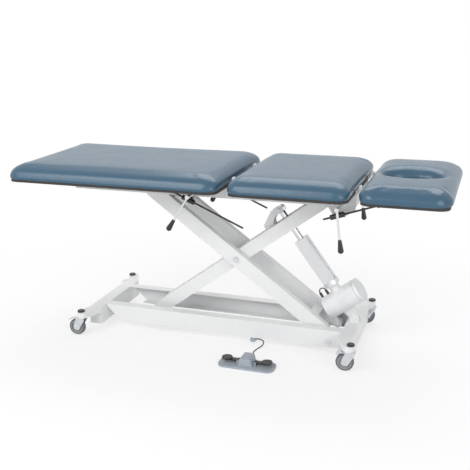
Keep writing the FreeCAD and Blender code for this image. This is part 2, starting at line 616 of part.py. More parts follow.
# Top frame: channels for the upper rollers, hinge plates and the fixed middle section
def top_frame():
    rail = channel("top_rail", top_rail_bottom, top_rail_top, top_rail_left, top_rail_right)
    slant = prism("top_slant", "XZ", [(top_rail_left - 1, top_rail_bottom - 1),
                                      (top_rail_left + 30, top_rail_bottom - 1),
                                      (top_rail_left - 1, top_rail_top - 12)], rail_outer * 4)
    bores = [rod("top_hole", pin_radius + fit, 50, "Y", (pivot_x, rail_outer - 40, top_pivot_z)),
             rod("shaft_hole", shaft_radius + fit, 50, "Y", (foot_lever_x, rail_outer - 40, foot_lever_z))]
    node("top_rails", both_sides([cut("top_rail_cut", rail, [slant] + bores)]))

    half = rail_outer - steel
    bottom = top_rail_bottom + steel
    top = top_rail_top - steel
    wall = steel

    def tie(middle, width):
        """A rectangular tube between the two channels' webs."""
        left, right = middle - width / 2, middle + width / 2
        return prism("top_tie", "XZ", rectangle(left, bottom, right, top), half * 2,
                     inner=[rectangle(left + wall, bottom + wall, right - wall, top - wall)])

    ties = [tie(top_rail_left + 56, 30), tie(foot_gap_x, 30)]
    end_tie = prism("end_tie", "XZ", rectangle(head_tie_x - 15, bottom, head_tie_x + 15, top), rail_outer * 2,
                    inner=[rectangle(head_tie_x - 12, bottom + wall, head_tie_x + 12, top - wall)])
    node("top_cross_members", ties + [end_tie])

    gap = foot_gap_x
    eye = hinge_eye
    foot_post = prism("foot_hinge_plate", "XZ",
                      [(gap - 40, top_rail_bottom + 8), (gap + 40, top_rail_bottom + 8),
                       (gap + 40, top_rail_top - 20), (gap + eye, top_rail_top + 4),
                       (gap + eye, foot_hinge_z + eye),
                       (gap - eye, foot_hinge_z + eye), (gap - eye, top_rail_top + 4),
                       (gap - 40, top_rail_top - 20)],
                      plate, at=(0, plate_y, 0), holes=[(gap, foot_hinge_z, hinge_pin_radius + fit)],
                      rounds=(4, 5), round_radius=eye - 0.5)
    gap = head_gap_x
    head_post = prism("head_side_plate", "XZ",
                      [(top_rail_right - 50, top_rail_bottom + 6), (head_lock_x - 22, head_lock_z - 12),
                       (head_lock_x + 22, head_lock_z - 12), (gap - 19, top_rail_bottom - 10),
                       (gap - 19, head_hinge_z - 35), (gap - 3, head_hinge_z - 14),
                       (gap + eye, head_hinge_z - 3), (gap + eye, head_hinge_z + eye),
                       (gap - eye, head_hinge_z + eye), (gap - eye, head_hinge_z - 3),
                       (gap - 21.5, head_hinge_z - 19), (gap - 21.5, top_rail_top),
                      (top_rail_right - 50, top_rail_top)],
                      plate, at=(0, plate_y, 0),
                      holes=[(gap, head_hinge_z, hinge_pin_radius + fit),
                             (head_lever_x, head_lever_z, shaft_radius + fit)],
                      rounds=(7, 8), round_radius=eye - 0.5)
    lock_ear = prism("foot_lock_ear", "XZ",
                     [(foot_lock_x - 16, foot_lock_z - 14), (foot_lock_x + 16, foot_lock_z - 14),
                      (foot_lock_x + 26, top_rail_bottom + 14), (foot_lock_x - 34, top_rail_bottom + 14)],
                     plate, at=(0, plate_y, 0), rounds=(0, 1), round_radius=10)
    stubs = [rod("lock_stub", lock_pin_radius, lock_y - lock_radius - rail_outer - 1, "Y", (x, rail_outer, z))
             for x, z in ((foot_lock_x, foot_lock_z), (head_lock_x, head_lock_z))]
    node("hinge_plates", both_sides([foot_post, fuse("head_plate_stub", [head_post, stubs[1]]),
                                     fuse("lock_ear_stub", [lock_ear, stubs[0]])]))


def cushion(stem, left, right, corner, corners, hinged):
    """A pad with rounded corners and a soft top edge, which wraps its board except on the sides with hinges."""
    half = table_width / 2
    height = pad_thickness + board_thickness - skirt_up
    pad = prism(stem, "XY", rectangle(left, -half, right, half), height,
                at=(0, 0, pad_bottom + pad_thickness - height / 2), rounds=corners[0], round_radius=corner[0])
    if corners[1]:
        outer = as_size(right).value
        fillet(pad, corner[1], lambda edge: all(abs(v.Point.x - outer) < 0.01 for v in edge.Vertexes)
               and abs(edge.Vertexes[0].Point.z - edge.Vertexes[-1].Point.z) > 1)
    level = height.value / 2 - 0.01
    fillet(pad, pad_roll, lambda edge: all(v.Point.z > level for v in edge.Vertexes))
    fillet(pad, pad_hem, lambda edge: all(v.Point.z < -level for v in edge.Vertexes))
    inset = board_inset - loose
    at = (0, 0, top_rail_top + board_thickness / 2)
    pocket = prism(stem + "_pocket", "XY", rectangle(left + inset, inset - half, right - inset, half - inset),
                   board_thickness, at=at, rounds=(0, 1, 2, 3), round_radius=pad_corner - inset)
    slots = []
    for x, inward in hinged:
        outline = [(x - inward, top_rail_top), (x + board_inset * inward, top_rail_top),
                   (x + board_inset * inward, pad_bottom), (x + hinge_ease * inward, pad_bottom),
                   (x, pad_bottom + hinge_ease * 2), (x - inward, pad_bottom + hinge_ease * 2)]
        slots.append(prism(stem + "_hinge_side", "XZ", outline, table_width + 4))
    return cut(stem + "_wrapped", pad, [pocket] + slots)


def board(stem, left, right):
    """The plywood under a pad."""
    half = table_width / 2 - board_inset
    return prism(stem, "XY", rectangle(left + board_inset, -half, right - board_inset, half), board_thickness,
                 at=(0, 0, top_rail_top + board_thickness / 2), rounds=(0, 1, 2, 3),
                 round_radius=pad_corner - board_inset)


def face_hole(stem, base, bottom, height):
    """Cuts the oval face hole through a pad or a board."""
    oval = doc.addObject("Part::Ellipse", new_name(stem + "_oval"))
    bind(oval, "MajorRadius", hole_length / 2)
    bind(oval, "MinorRadius", hole_width / 2)
    put(oval, (table_length / 2 - hole_from_end, 0, bottom))
    tool = doc.addObject("Part::Extrusion", new_name(stem + "_tool"))
    tool.Base = oval
    tool.Dir = FreeCAD.Vector(0, 0, 1)
    tool.Solid = True
    bind(tool, "LengthFwd", height)
    return cut(stem + "_holed", base, [tool])


def sections():
    """Pads, boards and hinged frames of the three sections."""
    left = -table_length / 2
    right = table_length / 2
    foot_right = foot_gap_x - pad_gap / 2
    centre_left = foot_gap_x + pad_gap / 2
    centre_right = head_gap_x - pad_gap / 2
    head_left = head_gap_x + pad_gap / 2
    every = (0, 1, 2, 3)
    centre = cushion("centre_cushion", centre_left, centre_right, (pad_corner,), (every, ()),
                     ((centre_left, 1), (centre_right, -1)))
    node("centre_pad", [centre])
    node("centre_board", [board("centre_plywood", centre_left, centre_right)])
    node("foot_pad", [cushion("foot_cushion", left, foot_right, (pad_corner,), (every, ()),
                              ((foot_right, -1),))])
    node("foot_board", [board("foot_plywood", left, foot_right)])
    head = cushion("head_cushion", head_left, right, (pad_corner, head_corner), ((0, 3), (1, 2)),
                   ((head_left, 1),))
    node("head_pad", [face_hole("head_pad", head, pad_bottom - 5, pad_thickness + 10)])
    plywood = board("head_plywood", head_left, right)
    node("head_board", [face_hole("head_board", plywood, top_rail_top - 5, board_thickness + 10)])

    eye = hinge_eye
    low = top_rail_top - section_bar
    foot_bar = prism("foot_side_bar", "XZ",
                     [(foot_gap_x + eye, foot_hinge_z + eye), (foot_gap_x - eye, foot_hinge_z + eye),
                      (foot_gap_x - eye, top_rail_top), (left + 110, top_rail_top), (left + 110, low),
                      (foot_gap_x + eye, low)],
                     plate, at=(0, moving_y, 0), rounds=(0, 1), round_radius=eye - 0.5)
    foot_pin = rod("foot_hinge_pin", hinge_pin_radius, plate * 2 + loose, "Y",
                   (foot_gap_x, rail_outer, foot_hinge_z))
    bars = both_sides([fuse("foot_bar_pinned", [foot_bar, foot_pin])])
    inside = moving_y - plate / 2
    ends = [prism("foot_end_bar", "YZ", rectangle(-inside, low, inside, top_rail_top), plate * 4,
                  at=(left + 122, 0, 0))]
    node("foot_frame", bars + ends)

    eye_x, eye_z = head_lock_eye_x, head_lock_eye_z
    head_bar = prism("head_side_bar", "XZ",
                     [(head_gap_x - eye, head_hinge_z + eye), (head_gap_x - eye, head_hinge_z - eye),
                      (head_gap_x + 26, top_rail_top - 10), (eye_x - 18, eye_z - 11),
                      (eye_x + 18, eye_z - 11), (eye_x + 44, low), (right - 60, low),
                      (right - 60, top_rail_top),
                      (head_gap_x + 22, top_rail_top), (head_gap_x + eye, head_hinge_z - 12),
                      (head_gap_x + eye, head_hinge_z + eye)],
                     plate, at=(0, moving_y, 0), rounds=(0, 10), round_radius=eye - 0.5)
    head_pin = rod("head_hinge_pin", hinge_pin_radius, plate * 2 + loose, "Y",
                   (head_gap_x, rail_outer, head_hinge_z))
    bars = both_sides([fuse("head_bar_pinned", [head_bar, head_pin])])
    profile = rectangle(-inside, top_rail_top - 14, inside, top_rail_top)
    ends = [prism("head_cross_bar", "YZ", profile, plate * 2, at=(x, 0, 0))
            for x in (head_gap_x + 61, right - 66)]
    node("head_frame", bars + ends)


# Actuator: motor, outer tube and ram between the base and the inner arms
def actuator():
    ear_half = plate / 2
    outline = [(motor_x - 22, rail_top), (motor_x + 22, rail_top), (motor_x + 16, motor_z + 16),
               (motor_x - 16, motor_z + 16)]
    ear = prism("motor_ear", "XZ", outline, plate, at=(0, motor_eye_width / 2 + ear_half + loose, 0),
                rounds=(2, 3), round_radius=14)
    reach = motor_eye_width / 2 + plate + loose + 4
    pin = rod("motor_pin", pin_radius, reach * 2, "Y", (motor_x, -reach, motor_z))
    node("actuator_bracket", [fuse("motor_bracket", both_sides([ear]) + [pin])])

    place = dict(at=(motor_x, 0, motor_z), angle=ram_angle)
    half = tube_width / 2
    groove = 6
    profile = [(-half, -half), (-groove, -half), (-groove, -half + 4), (groove, -half + 4), (groove, -half),
               (half, -half), (half, half), (groove, half), (groove, half - 4), (-groove, half - 4),
               (-groove, half), (-half, half)]
    tube = prism("actuator_profile", "YZ", profile, tube_end - tube_start,
                 at=((tube_end + tube_start) / 2, 0, 0))
    flange = rod("tube_flange", half + 10, 18, "X", (tube_start + 8, 0, 0))
    bore = rod("ram_bore", ram_radius + fit, tube_end - tube_start + 2, "X", (tube_start + 3, 0, 0))
    bored = cut("tube_bored", fuse("tube_flanged", [tube, flange]), [bore])
    node("actuator_tube", [group("tube_tilted", [bored], **place)])

    drum = rod("motor_drum", drum_radius, drum_length, "Z", (drum_up, 0, -drum_length / 2))
    neck = rod("motor_neck", half - 4, tube_start - drum_up, "X", (drum_up, 0, 0))
    tail = prism("motor_tail", "XZ", [(0, -15), (drum_up - 40, -30), (drum_up - 40, 30), (0, 15)],
                 motor_eye_width)
    tail_eye = rod("motor_eye", motor_eye_radius, motor_eye_width, "Y", (0, -motor_eye_width / 2, 0))
    bore = rod("motor_eye_bore", pin_radius + fit, motor_eye_width + 4, "Y", (0, -motor_eye_width / 2 - 2, 0))
    body = cut("motor_body", fuse("motor_fused", [drum, neck, tail, tail_eye]), [bore])
    node("motor_housing", [group("motor_tilted", [body], **place)])

    cap = rod("motor_cap_disc", drum_radius, 14, "Z", (drum_up, 0, -drum_length / 2 - 16))
    neck = rod("motor_cap_neck", drum_radius - 3, 2, "Z", (drum_up, 0, -drum_length / 2 - 2))
    node("motor_cap", [group("cap_tilted", [fuse("motor_cap_fused", [cap, neck])], **place)])

    ring = doc.addObject("Part::Torus", "motor_lead_ring")
    bind(ring, "Radius1", lead_bend)
    bind(ring, "Radius2", cord_radius)
    bind(ring, "Angle3", 180)
    ring.Placement.Rotation = FreeCAD.Rotation(
        FreeCAD.Vector(0, 0, -1), FreeCAD.Vector(1, 0, 0), FreeCAD.Vector(0, -1, 0), "XYZ")
    put(ring, (drum_up + drum_radius + 22, 0, drum_length / 2 - lead_bend - 8))
    ring_turned = group("lead_loop", [ring])
    plugs = [rod("lead_plug", 6, 22, "X", (drum_up + drum_radius, 0, drum_length / 2 - 8 - lead_bend + side))
             for side in (lead_bend, -lead_bend)]
    node("motor_lead", [group("lead_tilted", [ring_turned] + plugs, **place)])

    ram = rod("ram_bar", ram_radius, ram_length - ram_foot, "X", (ram_foot, 0, 0))
    end = rod("ram_end", ram_eye, ram_eye * 2 - 4, "Y", (ram_length, 2 - ram_eye, 0))
    node("actuator_ram", [group("ram_tilted", [fuse("ram_eyed", [ram, end])], **place)])


def lock_set(side, lock_x, lock_z, angle, reach, tail):
    """A pair of lock bodies and the rods that slide in them."""
    place = dict(at=(lock_x, 0, lock_z), angle=angle)
    body = rod("lock_barrel", lock_radius, lock_length, "X", (-lock_length / 2, lock_y, 0))
    boss = rod("lock_boss", lock_pin_radius + 4, lock_y - rail_outer - plate - loose, "Y",
               (0, rail_outer + plate + loose, 0))
    depth = lock_y - lock_radius - rail_outer + 1
    pin_bore = rod("lock_pin_bore", lock_pin_radius + fit, depth, "Y", (0, rail_outer - 2, 0))
    rod_bore = rod("lock_rod_bore", lock_rod_radius + fit, lock_length + 20, "X",
                   (-lock_length / 2 - 10, lock_y, 0))
    solid = cut("lock_body", fuse("lock_fused", [body, boss]), [pin_bore, rod_bore])
    node(f"{side}_locks", [group("locks_tilted", both_sides([solid]), **place)])

    bar = rod("lock_bar", lock_rod_radius, reach + tail, "X", (-tail, lock_y, 0))
    eye = rod("lock_eye", lock_pin_radius + 4, 10, "Y", (reach, lock_y - 5, 0))
    stub_start = moving_y + plate / 2 + loose
    stub = rod("lock_eye_pin", lock_pin_radius, lock_y - stub_start, "Y", (reach, stub_start, 0))
    pinned = fuse("lock_rod", [bar, eye, stub])
    node(f"{side}_lock_rods", [group("rods_tilted", both_sides([pinned]), **place)])


def lever_set(side, shaft_x, shaft_z, angle):
    """A cross shaft with a release lever on each end, and the grips."""
    place = dict(at=(shaft_x, 0, shaft_z), angle=angle)
    shaft = rod("lever_shaft", shaft_radius, lever_y * 2, "Y", (0, -lever_y, 0))
    arm = rod("lever_arm", lever_radius, lever_length + 12, "X", (0, lever_y, 0))
    knuckle = rod("lever_knuckle", shaft_radius + 3, 14, "Y", (0, lever_y - 7, 0))
    levers = fuse("levers", [shaft, arm, mirrored(arm), knuckle, mirrored(knuckle)])
    node(f"{side}_levers", [group("levers_tilted", [levers], **place)])

    taper = cone("grip_taper", grip_neck, grip_end, grip_length - grip_end, "X", (lever_length, lever_y, 0))
    tip = ball("grip_tip", grip_end, (lever_length + grip_length - grip_end, lever_y, 0))
    bore = rod("grip_bore", lever_radius + fit, 14, "X", (lever_length - 1, lever_y, 0))
    grip = cut("grip_bored", fuse("grip", [taper, tip]), [bore])
    node(f"{side}_lever_grips", [group("grips_tilted", both_sides([grip]), **place)])


# Casters: stem and fork, wheel centre, tyre and brake pedal
def caster_pieces():
    axle_x = -caster_trail
    fork_top = rail_top - arm_thickness - loose
    leg_y = wheel_width / 2 + 3.5
    crown = rod("fork_crown", 22, 4, "Z", (0, 0, fork_top - 4))
    stem = rod("caster_stem", stem_radius, arm_thickness - 2, "Z", (0, 0, fork_top - 1))
    leg_outline = [(axle_x - 13, wheel_radius - 10), (axle_x + 13, wheel_radius - 12), (19, fork_top - 14),
                   (19, fork_top - 2), (-19, fork_top - 2), (axle_x - 10, wheel_radius + 16)]
    leg = prism("fork_leg", "XZ", leg_outline, 2.5, at=(0, leg_y, 0), rounds=(0, 1), round_radius=9)
    legs = both_sides([leg])
    bridge = prism("fork_bridge", "XY", rectangle(-17, -leg_y - 1.25, 17, leg_y + 1.25), 4,
                   at=(0, 0, fork_top - 2))
    axle = rod("caster_axle", axle_radius, leg_y * 2 + 8, "Y", (axle_x, -leg_y - 4, wheel_radius))
    brake_z = fork_top - brake_drop
    brake_pin = rod("brake_pin", brake_pin_radius, leg_y * 2, "Y", (-brake_back, -leg_y, brake_z))
    fork = fuse("fork", [crown, stem, bridge, axle, brake_pin] + legs)

    rim = wheel_radius - tyre_depth
    disc = rod("wheel_disc", rim - fit, 8, "Y", (axle_x, -4, wheel_radius))
    hub = rod("wheel_hub", 11, wheel_width, "Y", (axle_x, -wheel_width / 2, wheel_radius))
    ring = rod("wheel_rim", rim - fit, wheel_width - 3, "Y", (axle_x, 1.5 - wheel_width / 2, wheel_radius))
    ring_hole = rod("wheel_rim_hole", rim - 4, wheel_width, "Y", (axle_x, -wheel_width / 2, wheel_radius))
    bore = rod("wheel_bore", axle_radius + fit, wheel_width + 4, "Y",
               (axle_x, -wheel_width / 2 - 2, wheel_radius))
    rim_ring = cut("wheel_rim_ring", ring, [ring_hole])
    wheel = cut("wheel", fuse("wheel_fused", [disc, hub, rim_ring]), [bore])

    half = wheel_width / 2
    tread = [(rim, -half), (wheel_radius - 3, -half), (wheel_radius, -half + 5), (wheel_radius, half - 5),
             (wheel_radius - 3, half), (rim, half)]
    tyre = ring_of_revolution("tyre_ring", tread, (axle_x, 0, wheel_radius))

    boss_radius = brake_pin_radius * 2
    plate_outline = [(-brake_back, brake_z - 0.8), (-brake_back, brake_z + boss_radius),
                     (-brake_back - 26, brake_z + 2.2), (-brake_back - 26, brake_z - 1.5)]
    tread_outline = [(-brake_back - 26, brake_z - 1.5), (-brake_back - 26, brake_z + 2.2),
                     (-brake_reach, brake_z - 6), (-brake_reach, brake_z - 10)]
    boss = rod("brake_boss", boss_radius, wheel_width, "Y", (-brake_back, -wheel_width / 2, brake_z))
    lever = prism("brake_plate", "XZ", plate_outline, wheel_width)
    bore = rod("brake_bore", brake_pin_radius + fit, wheel_width + 4, "Y",
               (-brake_back, -wheel_width / 2 - 2, brake_z))
    hinged = cut("brake_hinged", fuse("brake_fused", [boss, lever]), [bore])
    pedal = group("brake", [hinged, prism("brake_tread", "XZ", tread_outline, wheel_width + 6)])
    return {"fork": fork, "wheel": wheel, "tyre": tyre, "brake": pedal}


def ring_of_revolution(stem, profile, at):
    """A closed profile of radius and width, turned about an axle across the table."""
    body = doc.addObject("PartDesign::Body", new_name(stem))
    sketch = body.newObject("Sketcher::SketchObject", new_name(stem + "_outline"))
    origin_plane = next(item for item in body.Origin.OriginFeatures if item.Role == "XY_Plane")
    sketch.AttachmentSupport = [(origin_plane, "")]
    sketch.MapMode = "FlatFace"
    draw_loop(sketch, profile)
    turned = body.newObject("PartDesign::Revolution", new_name(stem + "_turned"))
    turned.Profile = sketch
    turned.ReferenceAxis = (sketch, ["V_Axis"])
    turned.Angle = 360
    put(body, at)
    return body


def casters():
    pieces = caster_pieces()
    corners = {"foot_left": (-1, 1), "foot_right": (-1, -1), "head_left": (1, 1), "head_right": (1, -1)}
    for corner, (along, across) in corners.items():
        for kind, piece in pieces.items():
            node(f"{corner}_{kind}", [piece], (base_x + caster_x * along, caster_y * across, 0))


# Foot switch: base plate with a middle housing, two pedals and the cord to its socket under the base
def foot_switch():
    half = switch_length / 2
    deep = switch_depth / 2
    base = prism("switch_base", "XY", rectangle(-half, -deep, half, deep), switch_plate,
                 at=(0, 0, switch_plate / 2), rounds=(0, 1, 2, 3), round_radius=30)
    tower = [(-tower_foot / 2, switch_plate), (tower_foot / 2, switch_plate), (tower_top / 2, tower_height),
             (-tower_top / 2, tower_height)]
    body = prism("switch_tower", "XZ", tower, switch_depth - 26, rounds=(2, 3), round_radius=8)
    gland = cone("switch_gland", cord_radius + 3, cord_radius + 1, 14, "Y", (gland_x, deep - 13.5, gland_z))
    ear = prism("pedal_ear", "XZ", [(pedal_pin_x - 7, switch_plate), (pedal_pin_x + 7, switch_plate),
                                    (pedal_pin_x + 4, pedal_z + 3), (pedal_pin_x - 4, pedal_z + 3)], 3,
                at=(0, pedal_arm_width / 2 + 2, 0))
    ears = both_sides([ear])
    pin = rod("pedal_pin", pedal_pin_radius, pedal_arm_width + 5, "Y",
              (pedal_pin_x, -pedal_arm_width / 2 - 2.5, pedal_z - 2.5))
    hinge = fuse("pedal_hinge", ears + [pin])
    node("switch_housing", [base, fuse("switch_body", [body, gland]), hinge, mirrored(hinge, (1, 0, 0))],
         (switch_x, switch_y, 0))

    for label, side in (("pedal_up", 1), ("pedal_down", -1)):
        disc = rod("pedal_disc", pedal_radius, 7, "Z", (pedal_reach, 0, pedal_z))
        half = pedal_arm_width / 2
        arm = prism("pedal_arm", "XY", rectangle(pedal_pin_x - 4.5, -half, pedal_reach, half), 5,
                    at=(0, 0, pedal_z - 2.5))
        bore = rod("pedal_bore", pedal_pin_radius + fit, pedal_arm_width + 4, "Y",
                   (pedal_pin_x, -half - 2, pedal_z - 2.5))
        pedal = cut("pedal", fuse("pedal_fused", [disc, arm]), [bore])
        node(label, [pedal if side > 0 else mirrored(pedal, (1, 0, 0))], (switch_x, switch_y, 0))


def cord_and_socket():
    """The cord from the foot switch to its socket, as straight runs joined by arcs, and the socket."""
    back = socket_mouth_x - 6
    block = prism("socket_block", "XZ", rectangle(back - 24, rail_bottom - 24, back, rail_bottom), 27,
                  at=(0, socket_y, 0), rounds=(0, 1), round_radius=5)
    sleeve = rod("socket_sleeve", cord_radius + 2.5, 7, "X", (back - 1, socket_y, rail_bottom - 12))
    node("cord_socket", [fuse("socket", [block, sleeve])])

    route = [FreeCAD.Vector(*point) for point in cord_route]
    tube = doc.addObject("Part::Feature", "cord_tube")
    tube.Shape = round_cord(route, cord_radius.value)
    node("switch_cord", [tube])


cord_route = [(168, -308.5, 17), (168, -287, 17), (165, -265, 10.5), (160, -242, 4.5), (156, -218, 2.8),
              (160, -194, 2.8), (169, -172, 4.5), (178, -153, 8), (178, -134, 15), (164, -123, 22),
              (144, -123, 22)]


def round_cord(points, radius):
    """A tube of straight runs and tangent arcs through a list of points."""
    runs = [(points[i + 1] - points[i]) for i in range(len(points) - 1)]
    edges = []
    last = points[0]
    for index in range(1, len(points) - 1):
        before, after = runs[index - 1], runs[index]
        half_turn = before.getAngle(after) / 2
        trim = 0.45 * min(before.Length, after.Length)
        bend = trim / math.tan(half_turn)
        print(f"cord bend {index}: radius {bend:.1f}")
        enter = points[index] - FreeCAD.Vector(before).normalize() * trim
        leave = points[index] + FreeCAD.Vector(after).normalize() * trim
        inward = (FreeCAD.Vector(after).normalize() - FreeCAD.Vector(before).normalize()).normalize()
        sag = bend / math.cos(half_turn) - bend
        edges.append(Part.LineSegment(last, enter).toShape())
        edges.append(Part.Arc(enter, points[index] + inward * sag, leave).toShape())
        last = leave
    edges.append(Part.LineSegment(last, points[-1]).toShape())
    path = Part.Wire(edges)
    ring = Part.Wire(Part.makeCircle(radius, points[0], runs[0]))
    solid = path.makePipeShell([ring], True, True)
    print(f"cord length {path.Length:.1f}")
    return solid


base_frame()
pivot_pins()
outer_frame()
inner_frame()
rollers()
top_frame()
sections()
actuator()
lock_set("foot", foot_lock_x, foot_lock_z, foot_rod_angle, foot_rod_reach, foot_rod_overhang)
lock_set("head", head_lock_x, head_lock_z, head_rod_angle, head_rod_reach, head_rod_overhang)
lever_set("foot", foot_lever_x, foot_lever_z, foot_lever_angle)
lever_set("head", head_lever_x, head_lever_z, head_lever_angle)
casters()
foot_switch()
cord_and_socket()

# Every object has to be sound before anything is written
doc.recompute()
for item in doc.Objects:
    if {"Invalid", "Error"} & set(item.State):
        raise RuntimeError(f"{item.Name} failed: {item.State}")
for item in nodes:
    if item.Shape.isNull() or not item.Shape.isValid() or not item.Shape.Solids:
        raise RuntimeError(f"{item.Label} has no sound shape")

os.makedirs("parts", exist_ok=True)
for item in nodes:
    item.Shape.exportStep(f"parts/{item.Label}.step")
print(f"{len(nodes)} nodes written")
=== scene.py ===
import json
import math

import bmesh
import bpy
from mathutils import Matrix, Vector


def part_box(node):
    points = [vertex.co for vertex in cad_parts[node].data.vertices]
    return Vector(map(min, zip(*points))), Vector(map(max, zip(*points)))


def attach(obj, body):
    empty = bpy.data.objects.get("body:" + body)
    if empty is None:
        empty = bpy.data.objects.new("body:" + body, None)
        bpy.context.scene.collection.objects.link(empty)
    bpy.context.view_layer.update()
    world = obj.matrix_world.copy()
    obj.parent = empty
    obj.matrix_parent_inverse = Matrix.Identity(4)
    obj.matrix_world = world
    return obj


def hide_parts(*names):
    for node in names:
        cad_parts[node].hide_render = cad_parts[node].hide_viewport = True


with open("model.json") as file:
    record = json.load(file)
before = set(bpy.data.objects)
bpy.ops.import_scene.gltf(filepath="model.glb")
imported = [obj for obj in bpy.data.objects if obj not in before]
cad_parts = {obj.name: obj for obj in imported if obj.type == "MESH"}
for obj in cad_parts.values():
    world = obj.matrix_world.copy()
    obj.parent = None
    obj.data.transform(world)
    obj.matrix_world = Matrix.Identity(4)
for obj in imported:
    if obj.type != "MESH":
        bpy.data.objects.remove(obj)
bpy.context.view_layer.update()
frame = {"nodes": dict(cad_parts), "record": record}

scene = bpy.context.scene

# Sizes in metres, in the part's frame
CENTRELINE = 0.029
BOARD_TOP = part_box("centre_board")[1].z
BOARD_INSET = 0.012
PAD_ROLL = (0.052, 0.044)
PAD_HEM = (0.010, 0.010)
PAD_CROWN = 0.003
CROWN_STEPS = ((0.085, 0.4), (0.140, 0.0))
PAD_BASE_INSET = 0.030
PAD_INSET = 0.002
PAD_RAISE = 0.005
CORNER_KEPT = 0.35
HINGE_SIDE_INSET = 0.001
HINGE_EASE = 0.010
FACE_HOLE = Vector((0.780, CENTRELINE))
FACE_HOLE_HALF = (0.118, 0.078)
HOLE_ROLL = (0.036, 0.034)
HOLE_FOOT = ((0.008, -0.010), (0.004, 0.0), (0.0, 0.010))
HOLE_STEPS = 72
CORNER_STEPS = 10
ROLL_STEPS = 7
TOOL_SIDE = 0.02
TOOL_END = 0.01

# Camera at the photograph's place, found by fitting the pads, casters and rails
CAMERA_AT = Vector((1.1139, -3.20666, 1.46646))
CAMERA_YAW = 0.3315
CAMERA_PITCH = 0.2856
CAMERA_ROLL = -0.0107
CAMERA_LENS = 60.19
SENSOR_WIDTH = 36
CAMERA_REACH = 60


def make_camera():
    forward = Vector((-math.sin(CAMERA_YAW) * math.cos(CAMERA_PITCH),
                      math.cos(CAMERA_YAW) * math.cos(CAMERA_PITCH),
                      -math.sin(CAMERA_PITCH)))
    level = Vector((math.cos(CAMERA_YAW), math.sin(CAMERA_YAW), 0))
    upright = level.cross(forward)
    right = level * math.cos(CAMERA_ROLL) + upright * math.sin(CAMERA_ROLL)
    up = upright * math.cos(CAMERA_ROLL) - level * math.sin(CAMERA_ROLL)
    data = bpy.data.cameras.new("camera")
    data.lens = CAMERA_LENS
    data.sensor_width = SENSOR_WIDTH
    data.clip_end = CAMERA_REACH
    camera = bpy.data.objects.new("camera", data)
    scene.collection.objects.link(camera)
    turn = Matrix((right, up, -forward)).transposed()
    camera.matrix_world = Matrix.Translation(CAMERA_AT) @ turn.to_4x4()
    scene.camera = camera


def link(obj):
    scene.collection.objects.link(obj)
    return obj


def smooth(obj):
    for face in obj.data.polygons:
        face.use_smooth = True


# Foot switch cord: a NURBS line guided by the route's points, which are in mm from the table's middle plane
CORD_ROUTE = [(168, -308.5, 17), (168, -287, 17), (165, -265, 10.5), (160, -242, 4.5), (156, -218, 2.8),
              (160, -194, 2.8), (169, -172, 4.5), (178, -153, 8), (178, -134, 15), (164, -123, 22),
              (144, -123, 22)]
CORD_RADIUS = 0.0025


def make_cord(material):
    curve = bpy.data.curves.new("foot_switch_cord", "CURVE")
    curve.dimensions = "3D"
    curve.bevel_depth = CORD_RADIUS
    curve.bevel_resolution = 5
    curve.resolution_u = 10
    curve.use_fill_caps = True
    spline = curve.splines.new("NURBS")
    spline.points.add(len(CORD_ROUTE) - 1)
    for point, (x, y, z) in zip(spline.points, CORD_ROUTE):
        point.co = (x / 1000, y / 1000 + CENTRELINE, z / 1000, 1)
    spline.order_u = 3
    spline.use_endpoint_u = True
    curve.materials.append(material)
    cord = link(bpy.data.objects.new("foot_switch_cord", curve))
    x, y, z = CORD_ROUTE[0]
    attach(cord, "base")
    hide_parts("switch_cord")


# Materials
NOISE_MIDDLE = (0.3, 0.7)


class Nodes:
    """Short names for building one material's node tree."""

    def __init__(self, name):
        self.material = bpy.data.materials.new(name)
        self.material.use_nodes = True
        self.tree = self.material.node_tree
        self.shader = self.tree.nodes["Principled BSDF"]
        self.place = self.add("ShaderNodeTexCoord").outputs["Object"]

    def add(self, kind, **settings):
        made = self.tree.nodes.new(kind)
        for key, value in settings.items():
            setattr(made, key, value)
        return made

    def join(self, source, target):
        self.tree.links.new(source, target)

    def noise(self, scale, detail=3, rough=0.5, stretch=None):
        made = self.add("ShaderNodeTexNoise")
        made.inputs["Scale"].default_value = scale
        made.inputs["Detail"].default_value = detail
        made.inputs["Roughness"].default_value = rough
        place = self.place
        if stretch:
            mapping = self.add("ShaderNodeMapping")
            mapping.inputs["Scale"].default_value = stretch
            self.join(self.place, mapping.inputs["Vector"])
            place = mapping.outputs["Vector"]
        self.join(place, made.inputs["Vector"])
        return made.outputs["Fac"]

    def cells(self, scale):
        made = self.add("ShaderNodeTexVoronoi", feature="SMOOTH_F1")
        made.inputs["Scale"].default_value = scale
        self.join(self.place, made.inputs["Vector"])
        return made.outputs["Distance"]

    def ramp(self, factor, stops):
        made = self.add("ShaderNodeValToRGB")
        band = made.color_ramp
        while len(band.elements) < len(stops):
            band.elements.new(0.5)
        for element, (place, colour) in zip(band.elements, stops):
            element.position = place
            element.color = (*colour, 1)
        self.join(factor, made.inputs["Fac"])
        return made.outputs["Color"]

    def spread(self, factor, low, high):
        """Spreads the middle of a noise over a range of values."""
        made = self.add("ShaderNodeMapRange")
        made.inputs["From Min"].default_value = NOISE_MIDDLE[0]
        made.inputs["From Max"].default_value = NOISE_MIDDLE[1]
        made.inputs["To Min"].default_value = low
        made.inputs["To Max"].default_value = high
        self.join(factor, made.inputs["Value"])
        return made.outputs["Result"]

    def bump(self, height, strength, distance, under=None):
        made = self.add("ShaderNodeBump")
        made.inputs["Strength"].default_value = strength
        made.inputs["Distance"].default_value = distance
        self.join(height, made.inputs["Height"])
        if under is not None:
            self.join(under, made.inputs["Normal"])
        return made.outputs["Normal"]

    def finish(self, colour, rough, normal, **values):
        for name, source in (("Base Color", colour), ("Roughness", rough), ("Normal", normal)):
            self.join(source, self.shader.inputs[name])
        for name, value in values.items():
            self.shader.inputs[name.replace("_", " ")].default_value = value
        return self.material


